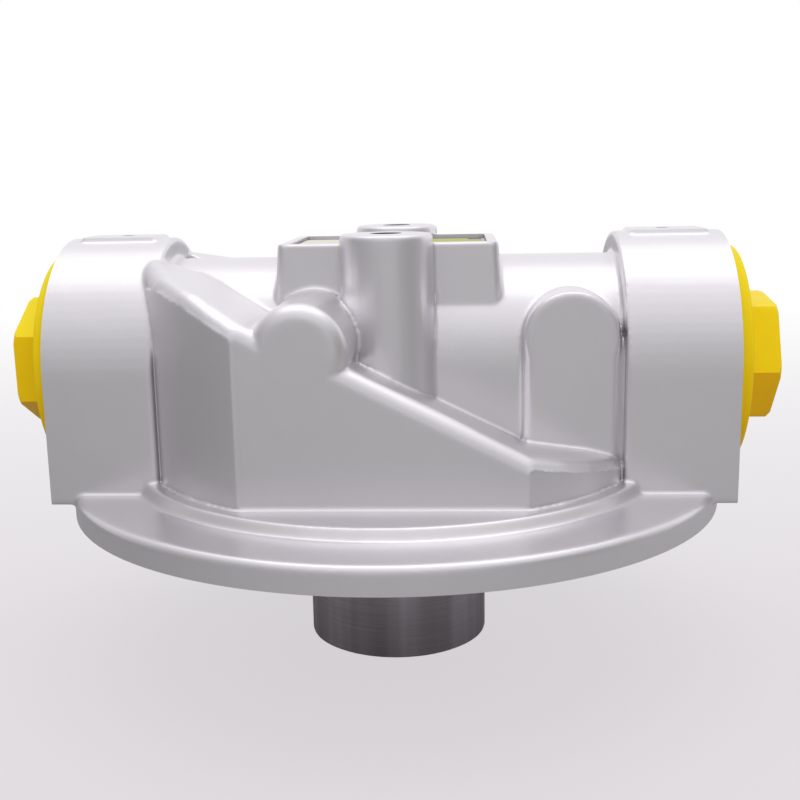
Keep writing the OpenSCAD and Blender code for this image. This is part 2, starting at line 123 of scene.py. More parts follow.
class NodeSheet:
    """The node tree of a material or a world, with short calls that add and join nodes."""

    def __init__(self, owner: bpy.types.Material | bpy.types.World, space: str = "Object") -> None:
        """Opens the owner's node tree.

        Args:
            owner: The material or world that the nodes belong to.
            space: Name of the texture coordinates that patterns read.
        """
        owner.use_nodes = True
        self.tree = owner.node_tree
        self.shader = self.tree.nodes.get("Principled BSDF")
        self.coords = self.tree.nodes.new("ShaderNodeTexCoord").outputs[space]

    @classmethod
    def coat(cls, name: str) -> tuple[bpy.types.Material, NodeSheet]:
        """Starts a new material and opens its node sheet."""
        material = bpy.data.materials.new(name)
        return material, cls(material)

    def add(self, kind: str, inputs: dict[int | str, Any], **settings: Any) -> bpy.types.Node:
        """Adds a node, sets its properties and fills or joins its inputs.

        Args:
            kind: Node type without the ShaderNode prefix.
            inputs: Value or output socket for each input, by its name or number.
            settings: Properties of the node.

        Returns:
            The new node.
        """
        node = self.tree.nodes.new("ShaderNode" + kind)
        for key, value in settings.items():
            setattr(node, key, value)
        self.fill(node, inputs)
        return node

    def fill(self, node: bpy.types.Node, inputs: dict[int | str, Any]) -> None:
        """Joins outputs to a node's inputs, or writes values there.

        Args:
            node: Node whose inputs are filled.
            inputs: Output socket, number or colour for each input.
        """
        for key, value in inputs.items():
            if isinstance(value, bpy.types.NodeSocket):
                self.tree.links.new(value, node.inputs[key])
            else:
                node.inputs[key].default_value = value

    def paint(self, inputs: dict[int | str, Any]) -> None:
        """Fills inputs of the surface shader."""
        self.fill(self.shader, inputs)

    def axes(self) -> bpy.types.NodeOutputs:
        """Gives the sheet's coordinates, one output for each axis."""
        return self.add("SeparateXYZ", {"Vector": self.coords}).outputs

    def scaled(self, scale: Sequence[float]) -> bpy.types.NodeSocket:
        """Gives object coordinates stretched by a scale on each axis."""
        return self.add("Mapping", {"Vector": self.coords, "Scale": scale}).outputs["Vector"]

    def noise(
        self, scale: float, detail: float = 3.0, vector: bpy.types.NodeSocket | None = None
    ) -> bpy.types.NodeSocket:
        """Adds a noise pattern on object coordinates.

        Args:
            scale: Grains per metre.
            detail: Octaves of the noise.
            vector: Coordinates other than the plain object ones.

        Returns:
            The noise as a value from 0 to 1.
        """
        source = self.coords if vector is None else vector
        node = self.add("TexNoise", {"Vector": source, "Scale": scale, "Detail": detail})
        return node.outputs["Fac"]

    def stretch(
        self,
        value: bpy.types.NodeSocket,
        levels: Sequence[Any],
        span: Span = (0.0, 1.0),
        kind: str = "LINEAR",
    ) -> bpy.types.NodeSocket:
        """Maps a span of values onto a range of levels.

        Args:
            value: The value to map.
            levels: Results at both ends of the span.
            span: Values where the levels are reached.
            kind: Name of the blend between them.

        Returns:
            The mapped value.
        """
        ends = dict(zip(("From Min", "From Max", "To Min", "To Max"), (*span, *levels)))
        node = self.add("MapRange", {"Value": value, **ends}, interpolation_type=kind)
        return node.outputs["Result"]

    def ramp(
        self, value: bpy.types.NodeSocket, span: Span, levels: Span = (0.0, 1.0)
    ) -> bpy.types.NodeSocket:
        """Blends smoothly from one level to another over a span of values."""
        return self.stretch(value, levels, span, "SMOOTHSTEP")

    def calculate(self, operation: str, *terms: Any, clamp: bool = False) -> bpy.types.NodeSocket:
        """Works out one operation on values.

        Args:
            operation: Name of the operation.
            terms: Its numbers or output sockets, in order.
            clamp: Whether the result stays between 0 and 1.

        Returns:
            The result.
        """
        node = self.add("Math", dict(enumerate(terms)), operation=operation, use_clamp=clamp)
        return node.outputs[0]

    def tint(
        self,
        value: bpy.types.NodeSocket,
        low: Colour | bpy.types.NodeSocket,
        high: Colour | bpy.types.NodeSocket,
    ) -> bpy.types.NodeSocket:
        """Blends two colours by a value.

        Args:
            value: Share of the second colour.
            low: First colour.
            high: Second colour.

        Returns:
            The blended colour.
        """
        # A Mix node has its colours at inputs 6 and 7 and the blended one at output 2.
        inputs: dict[int | str, Any] = {0: value}
        for key, tone in ((6, low), (7, high)):
            inputs[key] = tone if isinstance(tone, bpy.types.NodeSocket) else (*tone, 1.0)
        return self.add("Mix", inputs, data_type="RGBA").outputs[2]

    def bump(
        self, height: bpy.types.NodeSocket, depth: float, under: bpy.types.NodeSocket | None = None
    ) -> bpy.types.NodeSocket:
        """Turns a height pattern into a bumped normal.

        Args:
            height: Height from 0 to 1.
            depth: Real depth of the pattern in metres.
            under: Normal that the bump lies on.

        Returns:
            The bumped normal.
        """
        ground = {} if under is None else {"Normal": under}
        inputs = {"Height": height, "Strength": 1.0, "Distance": depth, **ground}
        return self.add("Bump", inputs).outputs["Normal"]

    def mixed(self, share: Any, first: bpy.types.Node, second: bpy.types.Node) -> bpy.types.Node:
        """Mixes two shaders by the share of the second."""
        return self.add("MixShader", {0: share, 1: first.outputs[0], 2: second.outputs[0]})


@dataclass(frozen=True)
class CastAluminium:
    """Fine-grained bead-blasted casting with a soft satin sheen, and painted shade in its creases.
    """

    light: Colour = (0.85, 0.825, 0.855)
    dark: Colour = (0.80, 0.775, 0.805)
    patches: float = 45.0
    metallic: float = 0.92
    roughness: Span = (0.30, 0.37)
    grain: float = 2400.0
    grain_depth: float = 0.000018
    ripple: float = 160.0
    ripple_depth: float = 0.00006
    # Painted shade: the next colour is blended by ambient occlusion into creases and hollows.
    dirt: Colour = (0.46, 0.445, 0.46)
    dirt_reach: float = 0.0018
    dirt_span: Span = (0.35, 0.8)

    def build(self) -> bpy.types.Material:
        """Builds the material.

        Returns:
            The cast aluminium material.
        """
        material, sheet = NodeSheet.coat("cast_aluminium")
        fine = sheet.noise(self.grain, 2.0)
        skin = sheet.tint(sheet.noise(self.patches, 4.0), self.dark, self.light)
        # Ambient occlusion blends in a darker colour where creases and hollows would lie in shade:
        # painted shade.
        hollow = sheet.add("AmbientOcclusion", {"Distance": self.dirt_reach}, samples=6)
        clean = sheet.ramp(hollow.outputs["AO"], self.dirt_span)
        waves = sheet.bump(sheet.noise(self.ripple, 1.0), self.ripple_depth)
        sheet.paint(
            {
                "Base Color": sheet.tint(clean, self.dirt, skin),
                "Metallic": self.metallic,
                "Roughness": sheet.stretch(fine, self.roughness),
                "Normal": sheet.bump(fine, self.grain_depth, waves),
            }
        )
        return material


@dataclass(frozen=True)
class TurnedMetal:
    """Metal with fine tool marks that run round one axis, on a shaft or on a face."""

    name: str
    colour: Colour
    roughness: float = 0.3
    rough_span: Span = (0.8, 1.3)
    mark_stretch: Size = (40.0, 40.0, 5200.0)
    mark_depth: float = 0.000012
    wear_stretch: Size = (180.0, 180.0, 180.0)
    contrast: float = 0.15
    mark_share: float = 1.0
    streak_reach: Span = (0.12, 0.18)
    face_turned: bool = False

    def build(self) -> bpy.types.Material:
        """Builds the material.

        Returns:
            The turned metal material.
        """
        material, sheet = NodeSheet.coat(self.name)
        marks = sheet.noise(1.0, 3.0, self.mark_coords(sheet))
        # Stretched noise darkens streaks of the colour: random wear, and on the spigot also painted
        # highlight bands.
        wear = sheet.noise(1.0, 3.0, sheet.scaled(self.wear_stretch))
        both = sheet.calculate("MULTIPLY_ADD", marks, self.mark_share, wear)
        middle = 0.5 + 0.5 * self.mark_share
        reach = self.streak_reach[0] + self.streak_reach[1] * self.mark_share
        streaks = sheet.stretch(both, (0.0, 1.0), (middle - reach, middle + reach))
        shade = tuple(c * (1.0 - self.contrast) for c in self.colour)
        rough = [self.roughness * share for share in self.rough_span]
        sheet.paint(
            {
                "Base Color": sheet.tint(streaks, shade, self.colour),
                "Metallic": 1.0,
                "Roughness": sheet.stretch(marks, rough),
                "Normal": sheet.bump(marks, self.mark_depth),
            }
        )
        return material

    def mark_coords(self, sheet: NodeSheet) -> bpy.types.NodeSocket:
        """Gives the coordinates of the tool marks, which run round the axis.

        Args:
            sheet: Node tree that the marks go in.

        Returns:
            The coordinates.
        """
        if not self.face_turned:
            return sheet.scaled(self.mark_stretch)
        flat = sheet.scaled((1.0, 1.0, 0.0))
        radius = sheet.add("VectorMath", {0: flat}, operation="LENGTH").outputs["Value"]
        grooves = sheet.calculate("MULTIPLY", radius, max(self.mark_stretch))
        return sheet.add("CombineXYZ", {"X": grooves}).outputs[0]


@dataclass(frozen=True)
class MouldedPlastic:
    """Soft satin plastic with faint flow marks, painted lighter on faces that point up and darker
    on faces that point down, as light and shade.
    """

    # The first colour is painted as light on faces that point up, the second as shade on faces that
    # point down.
    light: Colour = (1.0, 0.80, 0.010)
    deep: Colour = (0.93, 0.50, 0.003)
    rise_span: Span = (-0.85, 0.85)
    rise_share: Span = (-0.05, 0.8)
    flow: float = 60.0
    flow_share: float = 0.25
    grain: float = 900.0
    grain_depth: float = 0.000012
    roughness: float = 0.42
    rough_span: Span = (0.9, 1.15)
    gloss: float = 0.1
    depth_share: float = 0.08
    depth_colour: Colour = (0.9, 0.5, 0.05)
    depth_reach: float = 0.002

    def build(self) -> bpy.types.Material:
        """Builds the material.

        Returns:
            The yellow plastic material.
        """
        material, sheet = NodeSheet.coat("plug_plastic")
        flow = sheet.noise(self.flow, 3.0)
        skin = sheet.noise(self.grain, 2.0)
        # Painted light and shade: the colour follows which way each face points, lit on top and
        # shaded below.
        facing = sheet.add("NewGeometry", {}).outputs["Normal"]
        rise = sheet.add("SeparateXYZ", {"Vector": facing}).outputs["Z"]
        glow = sheet.stretch(sheet.stretch(rise, (0.0, 1.0), self.rise_span), self.rise_share)
        share = sheet.calculate("MULTIPLY_ADD", flow, self.flow_share, glow, clamp=True)
        rough = [self.roughness * part for part in self.rough_span]
        sheet.paint(
            {
                "Base Color": sheet.tint(share, self.deep, self.light),
                "Roughness": sheet.stretch(skin, rough),
                "Specular IOR Level": self.gloss,
                "Subsurface Weight": self.depth_share,
                "Subsurface Radius": self.depth_colour,
                "Subsurface Scale": self.depth_reach,
                "Normal": sheet.bump(skin, self.grain_depth),
            }
        )
        return material


@dataclass(frozen=True)
class PlainRubber:
    """Matte black rubber."""

    dark: Colour = (0.01, 0.01, 0.01)
    light: Colour = (0.025, 0.025, 0.025)
    roughness: Span = (0.5, 0.7)
    grain: float = 700.0
    grain_depth: float = 0.00002

    def build(self) -> bpy.types.Material:
        """Builds the material.

        Returns:
            The rubber material.
        """
        material, sheet = NodeSheet.coat("seal_rubber")
        skin = sheet.noise(self.grain, 3.0)
        sheet.paint(
            {
                "Base Color": sheet.tint(skin, self.dark, self.light),
                "Roughness": sheet.stretch(skin, self.roughness),
                "Normal": sheet.bump(skin, self.grain_depth),
            }
        )
        return material


@dataclass(frozen=True)
class LabelFilm:
    """Printed film: a cream field, a yellow-green field and dark blocks, with no words."""

    cream: Colour = (0.78, 0.76, 0.62)
    green: Colour = (0.42, 0.45, 0.02)
    ink: Colour = (0.02, 0.02, 0.015)
    field_x: float = 8.0 * MM
    block_x: float = 18.5 * MM
    band_y: float = 3.0 * MM
    edge_y: float = 8.2 * MM
    roughness: Span = (0.35, 0.5)
    grain: float = 1500.0
    grain_depth: float = 0.000008

    def build(self) -> bpy.types.Material:
        """Builds the material.

        Returns:
            The label material.
        """
        material, sheet = NodeSheet.coat("label_film")
        axes = sheet.axes()
        field = sheet.calculate("GREATER_THAN", axes["X"], self.field_x)
        block = sheet.calculate("GREATER_THAN", axes["X"], self.block_x)
        band = sheet.calculate("GREATER_THAN", axes["Y"], self.band_y)
        rim = sheet.calculate("GREATER_THAN", axes["Y"], self.edge_y)
        corner = sheet.calculate("MULTIPLY", block, band)
        strip = sheet.calculate("MULTIPLY", rim, field)
        dark = sheet.calculate("MAXIMUM", corner, strip)
        base = sheet.tint(field, self.cream, self.green)
        grain = sheet.noise(self.grain, 2.0)
        sheet.paint(
            {
                "Base Color": sheet.tint(dark, base, self.ink),
                "Roughness": sheet.stretch(grain, self.roughness),
                "Normal": sheet.bump(grain, self.grain_depth),
            }
        )
        return material


@dataclass(frozen=True)
class Finishes:
    """Every finish on the filter head, built once and shared by its pieces."""

    casting: bpy.types.Material
    machined: bpy.types.Material
    # Painted shade for the inside of the mounting holes.
    drilled: bpy.types.Material
    spigot: bpy.types.Material
    plastic: bpy.types.Material
    label: bpy.types.Material
    steel: bpy.types.Material
    black_steel: bpy.types.Material
    spring: bpy.types.Material
    brass: bpy.types.Material
    rubber: bpy.types.Material

    @classmethod
    def mix(cls) -> Finishes:
        """Builds all the materials.

        Returns:
            The set of finishes.
        """
        along_x = (5200.0, 40.0, 40.0)
        face = TurnedMetal("machined_aluminium", (0.74, 0.735, 0.75), face_turned=True)
        tube = TurnedMetal(
            "spigot_steel",
            (0.99, 0.92, 0.99),
            0.32,
            # Upright streaks along the tube: wear, and painted highlight bands of turned steel.
            wear_stretch=(85.0, 85.0, 4.0),
            contrast=0.5,
            mark_share=0.25,
        )
        steel = TurnedMetal("valve_steel", (0.5, 0.5, 0.52), 0.28, mark_stretch=along_x)
        brass = TurnedMetal("valve_brass", (0.66, 0.45, 0.16), 0.27, mark_stretch=along_x)
        return cls(
            casting=CastAluminium().build(),
            machined=face.build(),
            # Near-black metal painted into the mounting holes as their shade.
            drilled=TurnedMetal("drilled_aluminium", (0.10, 0.10, 0.105), 0.45).build(),
            spigot=tube.build(),
            plastic=MouldedPlastic().build(),
            label=LabelFilm().build(),
            steel=steel.build(),
            black_steel=TurnedMetal("screw_steel", (0.06, 0.06, 0.065), 0.4).build(),
            spring=TurnedMetal("spring_steel", (0.32, 0.33, 0.36), 0.3).build(),
            brass=brass.build(),
            rubber=PlainRubber().build(),
        )


class Workshop:
    """Shared operations that shape a bmesh and turn it into a finished, registered piece."""

    @staticmethod
    def box(mesh: bmesh.types.BMesh, middle: Sequence[float], size: Sequence[float]) -> None:
        """Adds a box, with its middle and its size along each axis."""
        matrix = Matrix.Translation(middle) @ Matrix.Diagonal((*size, 1.0))
        bmesh.ops.create_cube(mesh, size=1.0, matrix=matrix)

    @staticmethod
    def rod(
        mesh: bmesh.types.BMesh, middle: Sequence[float], radius: float, length: float, steps: int
    ) -> None:
        """Adds an upright round rod.

        Args:
            mesh: The bmesh that receives it.
            middle: Its middle.
            radius: Its radius.
            length: Its length.
            steps: Number of facets round it.
        """
        bmesh.ops.create_cone(
            mesh,
            cap_ends=True,
            segments=steps,
            radius1=radius,
            radius2=radius,
            depth=length,
            matrix=Matrix.Translation(middle),
        )

    @staticmethod
    def upright(mesh: bmesh.types.BMesh) -> list[bmesh.types.BMEdge]:
        """Lists the edges of a box that stand upright."""
        return [e for e in mesh.edges if abs(e.verts[0].co.z - e.verts[1].co.z) > LEVEL_SLACK]

    @staticmethod
    def bevel(
        mesh: bmesh.types.BMesh, edges: list[bmesh.types.BMEdge], width: float, segments: int
    ) -> None:
        """Rounds or chamfers edges of a bmesh.

        Args:
            mesh: The bmesh.
            edges: Its edges that change.
            width: Width of the rounding.
            segments: Number of facets across it.
        """
        bmesh.ops.bevel(
            mesh,
            geom=edges,
            offset=width,
            segments=segments,
            profile=0.5,
            affect="EDGES",
            material=-1,
        )

    @staticmethod
    def spin(
        mesh: bmesh.types.BMesh, geom: list[Any], steps: int, turns: float = 1.0, climb: float = 0.0
    ) -> None:
        """Sweeps geometry round Z, into a closed ring unless it climbs.

        Args:
            mesh: The bmesh.
            geom: Its vertices, edges or faces that are swept.
            steps: Number of steps in all.
            turns: Number of turns.
            climb: Rise along Z at each step.
        """
        bmesh.ops.spin(
            mesh,
            geom=geom,
            cent=(0.0, 0.0, 0.0),
            axis=(0.0, 0.0, 1.0),
            dvec=(0.0, 0.0, climb),
            angle=math.tau * turns,
            steps=steps,
            use_merge=climb == 0.0,
        )

    @staticmethod
    def turned(
        name: str,
        outline: Sequence[Span],
        steps: int,
        angle: float = TOOL_CREASE,
        materials: Sequence[bpy.types.Material] = (),
        place: Sequence[float] = (0.0, 0.0, 0.0),
    ) -> bpy.types.Object:
        """Turns a closed solid round an upright axis.

        Args:
            name: Name of the new object.
            outline: Radius and height of each corner of its closed outline.
            steps: Number of facets round the axis.
            angle: Angle in degrees past which an edge stays sharp.
            materials: Its material slots.
            place: Where the axis stands.

        Returns:
            The solid.
        """
        mesh = bmesh.new()
        verts = [mesh.verts.new((radius, 0.0, height)) for radius, height in outline]
        edges = [mesh.edges.new((a, b)) for a, b in zip(verts, verts[1:] + verts[:1])]
        Workshop.spin(mesh, verts + edges, steps)
        bmesh.ops.remove_doubles(mesh, verts=mesh.verts, dist=WELD)
        bmesh.ops.dissolve_degenerate(mesh, dist=WELD / 10, edges=mesh.edges)
        bmesh.ops.recalc_face_normals(mesh, faces=mesh.faces)
        bmesh.ops.translate(mesh, verts=mesh.verts, vec=place)
        return Workshop.finish(mesh, name, materials, angle)

    @staticmethod
    def finish(
        mesh: bmesh.types.BMesh,
        name: str,
        materials: Sequence[bpy.types.Material] = (),
        angle: float = TOOL_CREASE,
    ) -> bpy.types.Object:
        """Makes an object from a bmesh and shades it.

        Args:
            mesh: The bmesh, which is freed.
            name: Name of the new object.
            materials: Its material slots.
            angle: Angle in degrees past which an edge stays sharp.

        Returns:
            The new object.
        """
        data = bpy.data.meshes.new(name)
        mesh.to_mesh(data)
        mesh.free()
        piece = bpy.data.objects.new(name, data)
        bpy.context.scene.collection.objects.link(piece)
        Workshop.coat(piece, *materials)
        Workshop.shade(piece, angle)
        return piece

    @staticmethod
    def coat(piece: bpy.types.Object, *materials: bpy.types.Material) -> None:
        """Gives a piece these material slots in place of its own."""
        piece.data.materials.clear()
        for material in materials:
            piece.data.materials.append(material)

    @staticmethod
    def shade(piece: bpy.types.Object, angle: float) -> None:
        """Shades a piece smooth, with its edges sharp past an angle in degrees."""
        piece.data.shade_smooth()
        piece.data.set_sharp_from_angle(angle=math.radians(angle))

    @staticmethod
    def apply(piece: bpy.types.Object) -> None:
        """Bakes a piece's modifiers into its mesh.

        Args:
            piece: The object whose modifiers are applied.
        """
        graph = bpy.context.evaluated_depsgraph_get()
        graph.update()
        baked = bpy.data.meshes.new_from_object(piece.evaluated_get(graph))
        old = piece.data
        piece.modifiers.clear()
        piece.data = baked
        baked.name = piece.name
        bpy.data.meshes.remove(old)

    @staticmethod
    def cut(
        piece: bpy.types.Object, tool: bpy.types.Object, operation: str = "DIFFERENCE"
    ) -> None:
        """Cuts a piece with a tool body, or joins the two, and removes the tool.

        Args:
            piece: The object that changes.
            tool: The closed body that cuts it or is added.
            operation: Name of the boolean operation.
        """
        change = piece.modifiers.new("cut", "BOOLEAN")
        change.operation = operation
        change.solver = "MANIFOLD"
        change.object = tool
        Workshop.apply(piece)
        data = tool.data
        bpy.data.objects.remove(tool)
        bpy.data.meshes.remove(data)

    @staticmethod
    def round_edges(piece: bpy.types.Object, radius: float, segments: int) -> None:
        """Rounds a piece's sharp edges a little, as a mould leaves them.

        Args:
            piece: The object whose edges are rounded.
            radius: Width of the rounding.
            segments: Number of facets across it.
        """
        bevel = piece.modifiers.new("edges", "BEVEL")
        bevel.width = radius
        bevel.segments = segments
        bevel.limit_method = "ANGLE"
        bevel.angle_limit = math.radians(PLUG_CREASE)
        Workshop.apply(piece)

    @staticmethod
    def register(piece: bpy.types.Object, slot: Slot, node: str) -> None:
        """Sets a piece to ride on the head and hides the CAD solid that it replaces.

        Args:
            piece: The finished object.
            slot: Record slot of its finish; not used.
            node: CAD node that it replaces.
        """
        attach(piece, HEAD_BODY)
        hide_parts(node)
        LOG.info("%s: %d faces on %s", piece.name, len(piece.data.polygons), HEAD_BODY)


@dataclass
class HeadCasting:
    """The one-piece casting, with blended edges and crisp machined faces."""

    frame: dict[str, Any]
    finishes: Finishes
    voxel: float = 0.52 * MM
    soften_rounds: int = 4
    soften_share: float = 0.5
    stock: float = 3.0 * MM
    stock_slack: float = 0.01 * MM
    overlap: float = 1.0 * MM
    disc_reach: float = 78.45 * MM
    pad_top_z: float = 62.0 * MM
    pocket: Size = (45.4 * MM, 33.2 * MM, 1.0 * MM)
    pocket_corner: float = 1.0 * MM
    pocket_steps: int = 5
    pocket_tool_h: float = 6 * MM
    mount_y: float = 22.2 * MM
    mount_top_z: float = 64.4 * MM
    mount_boss_r: float = 10.9 * MM
    post_h: float = 20 * MM
    post_facets: int = 96
    hole_r: float = 3.4 * MM
    hole_depth: float = 14.0 * MM
    hole_chamfer: float = 0.2 * MM
    hole_fill: float = 0.4 * MM
    hole_facets: int = 32
    hole_rim: float = 0.25 * MM
    mouth_rim: float = 0.05 * MM
    drill_tip: float = 0.5
    drill_over: float = 2 * MM
    drill_facets: int = 64
    crest_x: float = 65.0 * MM
    crest: Size = (15.8 * MM, 10.0 * MM, 3.0 * MM)
    crest_edge: float = 0.1 * MM
    crest_top_z: float = 63.7 * MM
    dimple: Span = (1.5 * MM, 0.8 * MM)
    dimple_facets: int = 32
    wall_r: float = 60.0 * MM
    wall_z: Span = (8.6 * MM, 53.0 * MM)
    wall_slack: float = 0.7 * MM
    wall_shade_slack: float = 0.1 * MM
    wall_turn: float = 0.92
    wall_blend: float = 0.05
    face_band: float = 0.02 * MM
    most_triangles: int = 190_000
    rough_crease: float = 40.0
    crease: float = 32.0

    def build(self) -> None:
        """Blends, machines and dresses the casting."""
        piece = self.rough_casting()
        self.soften(piece)
        self.true_wall(piece)
        self.machine(piece)
        self.thin(piece)
        self.even_shading(piece)
        self.dress(piece)
        Workshop.register(piece, Slot.CASTING, "head_casting")

    def mounts(self) -> Span:
        """Gives the places of the mounting bosses across the port axis."""
        return -self.mount_y, self.mount_y

    def rough_casting(self) -> bpy.types.Object:
        """Copies the solid, merges it and leaves stock where it is machined later.

        Returns:
            The casting before machining.
        """
        mesh = bmesh.new()
        mesh.from_mesh(self.frame["nodes"]["head_casting"].data)
        bmesh.ops.remove_doubles(mesh, verts=mesh.verts, dist=WELD)
        for vert in mesh.verts:
            on_port = abs(abs(vert.co.x) - PORT_FACE_X) < self.stock_slack
            if on_port and vert.co.z > LEVEL_SLACK:
                vert.co.x += math.copysign(self.stock, vert.co.x)
            if vert.co.z < self.stock_slack:
                vert.co.z -= self.stock
        self.fill_pocket(mesh)
        coats = [self.finishes.casting]
        return Workshop.finish(mesh, "head_casting_looks", coats, self.rough_crease)

    def fill_pocket(self, mesh: bmesh.types.BMesh) -> None:
        """Fills the label pocket and the mounting holes, which are machined later.

        Args:
            mesh: The casting's mesh.
        """
        length, width, depth = self.pocket
        size = (length + self.overlap, width + self.overlap, 2 * depth)
        Workshop.box(mesh, (0.0, 0.0, self.pad_top_z - depth), size)
        sink = Vector((0.0, 0.0, self.overlap / 2))
        for y in self.mounts():
            middle = Vector((0.0, y, self.mount_top_z - self.hole_depth / 2)) - sink
            radius = self.hole_r + self.hole_fill
            Workshop.rod(mesh, middle, radius, self.hole_depth + self.overlap, self.hole_facets)

    def soften(self, piece: bpy.types.Object) -> None:
        """Melts the edges into each other as a casting's fillets do.

        Args:
            piece: The rough casting.
        """
        remesh = piece.modifiers.new("skin", "REMESH")
        remesh.mode = "VOXEL"
        remesh.voxel_size = self.voxel
        blend = piece.modifiers.new("blend", "SMOOTH")
        blend.factor = self.soften_share
        blend.iterations = self.soften_rounds
        Workshop.apply(piece)
        LOG.info("softened casting: %d faces", len(piece.data.polygons))

    def machine(self, piece: bpy.types.Object) -> None:
        """Cuts what is machined after casting and adds the crest pads.

        Args:
            piece: The softened casting.
        """
        Workshop.cut(piece, self.envelope(), "INTERSECT")
        Workshop.cut(piece, self.pocket_tool())
        for y in self.mounts():
            Workshop.cut(piece, self.hole_tool(y))
        for side in Side:
            Workshop.cut(piece, self.crest_pad(side.value * self.crest_x), "UNION")
            Workshop.cut(piece, self.dimple_tool(side.value * self.crest_x))

    def envelope(self) -> bpy.types.Object:
        """Makes the block inside which the machined casting lies.

        Returns:
            The block between both port faces, above the sealing plane.
        """
        mesh = bmesh.new()
        height = 2 * self.mount_top_z
        size = (2 * PORT_FACE_X, 4 * self.disc_reach, height)
        Workshop.box(mesh, (0.0, 0.0, height / 2), size)
        return Workshop.finish(mesh, "envelope")

    def pocket_tool(self) -> bpy.types.Object:
        """Makes the cutter for the label pocket, which clears both mounting bosses.

        Returns:
            The cutter.
        """
        length, width, depth = self.pocket
        height = self.pocket_tool_h
        mesh = bmesh.new()
        middle = (0.0, 0.0, self.pad_top_z - depth + height / 2)
        Workshop.box(mesh, middle, (length, width, height))
        Workshop.bevel(mesh, Workshop.upright(mesh), self.pocket_corner, self.pocket_steps)
        tool = Workshop.finish(mesh, "pocket_tool")
        for y in self.mounts():
            Workshop.cut(tool, self.post(y))
        return tool

    def post(self, y: float) -> bpy.types.Object:
        """Makes a cylinder as wide as a mounting boss.

        Args:
            y: Its place across the port axis.

        Returns:
            The cylinder.
        """
        mesh = bmesh.new()
        middle = (0.0, y, self.pad_top_z)
        Workshop.rod(mesh, middle, self.mount_boss_r, self.post_h, self.post_facets)
        return Workshop.finish(mesh, "post")

    def hole_tool(self, y: float) -> bpy.types.Object:
        """Makes the drill that leaves a mounting hole with a chamfered mouth.

        Args:
            y: Place of the hole across the port axis.

        Returns:
            The drill.
        """
        r, top, over = self.hole_r, self.mount_top_z, self.drill_over
        outline = [
            (0.0, top - self.hole_depth - self.drill_tip * r),
            (r, top - self.hole_depth),
            (r, top - self.hole_chamfer),
            (r + self.hole_chamfer, top),
            (r + over, top + over),
            (0.0, top + over),
        ]
        return Workshop.turned("drill", outline, self.drill_facets, place=(0.0, y, 0.0))

    def crest_pad(self, x: float) -> bpy.types.Object:
        """Makes the raised pad on a port boss.

        Args:
            x: Place of its middle along the port axis.

        Returns:
            The pad.
        """
        mesh = bmesh.new()
        Workshop.box(mesh, (x, 0.0, self.crest_top_z - self.crest[2] / 2), self.crest)
        Workshop.bevel(mesh, list(mesh.edges), self.crest_edge, 1)
        return Workshop.finish(mesh, "crest_pad")

    def dimple_tool(self, x: float) -> bpy.types.Object:
        """Makes the cutter for the small round dimple in a crest pad.

        Args:
            x: Place of its middle along the port axis.

        Returns:
            The cutter.
        """
        r, depth = self.dimple
        top = self.crest_top_z
        outline = [(0.0, top - depth), (r, top - depth), (r, top + depth), (0.0, top + depth)]
        return Workshop.turned("dimple_tool", outline, self.dimple_facets, place=(x, 0.0, 0.0))

    def true_wall(self, piece: bpy.types.Object) -> None:
        """Brings the chamber's curved wall onto one smooth cylinder.

        Args:
            piece: The softened casting.
        """
        low, high = self.wall_z
        mesh = bmesh.new()
        mesh.from_mesh(piece.data)
        for vert in mesh.verts:
            radius = math.hypot(vert.co.x, vert.co.y)
            if low < vert.co.z < high and abs(radius - self.wall_r) < self.wall_slack:
                grow = 1.0 + self.pull(vert.co, vert.normal) * (self.wall_r / radius - 1.0)
                vert.co.x *= grow
                vert.co.y *= grow
        mesh.to_mesh(piece.data)
        mesh.free()

    def pull(self, place: Vector, normal: Vector) -> float:
        """Tells how much of the curved wall's roundness a point takes.

        Args:
            place: The point.
            normal: Its normal.

        Returns:
            1 where the normal points straight out from Z and 0 where a fillet turns away.
        """
        outward = (place.x * normal.x + place.y * normal.y) / math.hypot(place.x, place.y)
        return min(1.0, max(0.0, (outward - self.wall_turn) / self.wall_blend))

    def even_shading(self, piece: bpy.types.Object) -> None:
        """Shades the chamber's curved wall as the smooth cylinder that it is.

        Args:
            piece: The thinned casting.
        """
        low, high = self.wall_z
        data = piece.data
        normals = [corner.vector.copy() for corner in data.corner_normals]
        for index, loop in enumerate(data.loops):
            place = data.vertices[loop.vertex_index].co
            off = abs(math.hypot(place.x, place.y) - self.wall_r)
            if off < self.wall_shade_slack and low < place.z < high:
                straight = Vector((place.x, place.y, 0.0)).normalized()
                share = self.pull(place, normals[index])
                normals[index] = normals[index].lerp(straight, share).normalized()
        data.normals_split_custom_set(normals)

    def thin(self, piece: bpy.types.Object) -> None:
        """Drops triangles where the casting is flat.

        Args:
            piece: The machined casting.
        """
        count = sum(len(p.vertices) - 2 for p in piece.data.polygons)
        fewer = piece.modifiers.new("thin", "DECIMATE")
        fewer.ratio = min(1.0, self.most_triangles / count)
        Workshop.apply(piece)
        Workshop.shade(piece, self.crease)

    def dress(self, piece: bpy.types.Object) -> None:
        """Gives the machined faces their own finish and paints shade into the mounting holes.

        Args:
            piece: The thinned casting.
        """
        finishes = self.finishes
        Workshop.coat(piece, finishes.casting, finishes.machined, finishes.drilled)
        for face in piece.data.polygons:
            face.material_index = self.coat_at(face.center).value

    def coat_at(self, place: Vector) -> Coat:
        """Tells which finish the casting has at a place, or whether it takes the painted hole
        shade.

        Args:
            place: Middle of a face.

        Returns:
            Its finish.
        """
        # Faces inside a mounting hole take the painted shade.
        below = place.z < self.mount_top_z - self.mouth_rim
        for y in self.mounts():
            if below and math.hypot(place.x, place.y - y) < self.hole_r + self.hole_rim:
                return Coat.DRILLED
        on_port = abs(abs(place.x) - PORT_FACE_X) < self.face_band
        return Coat.MACHINED if on_port or place.z < self.face_band else Coat.CAST


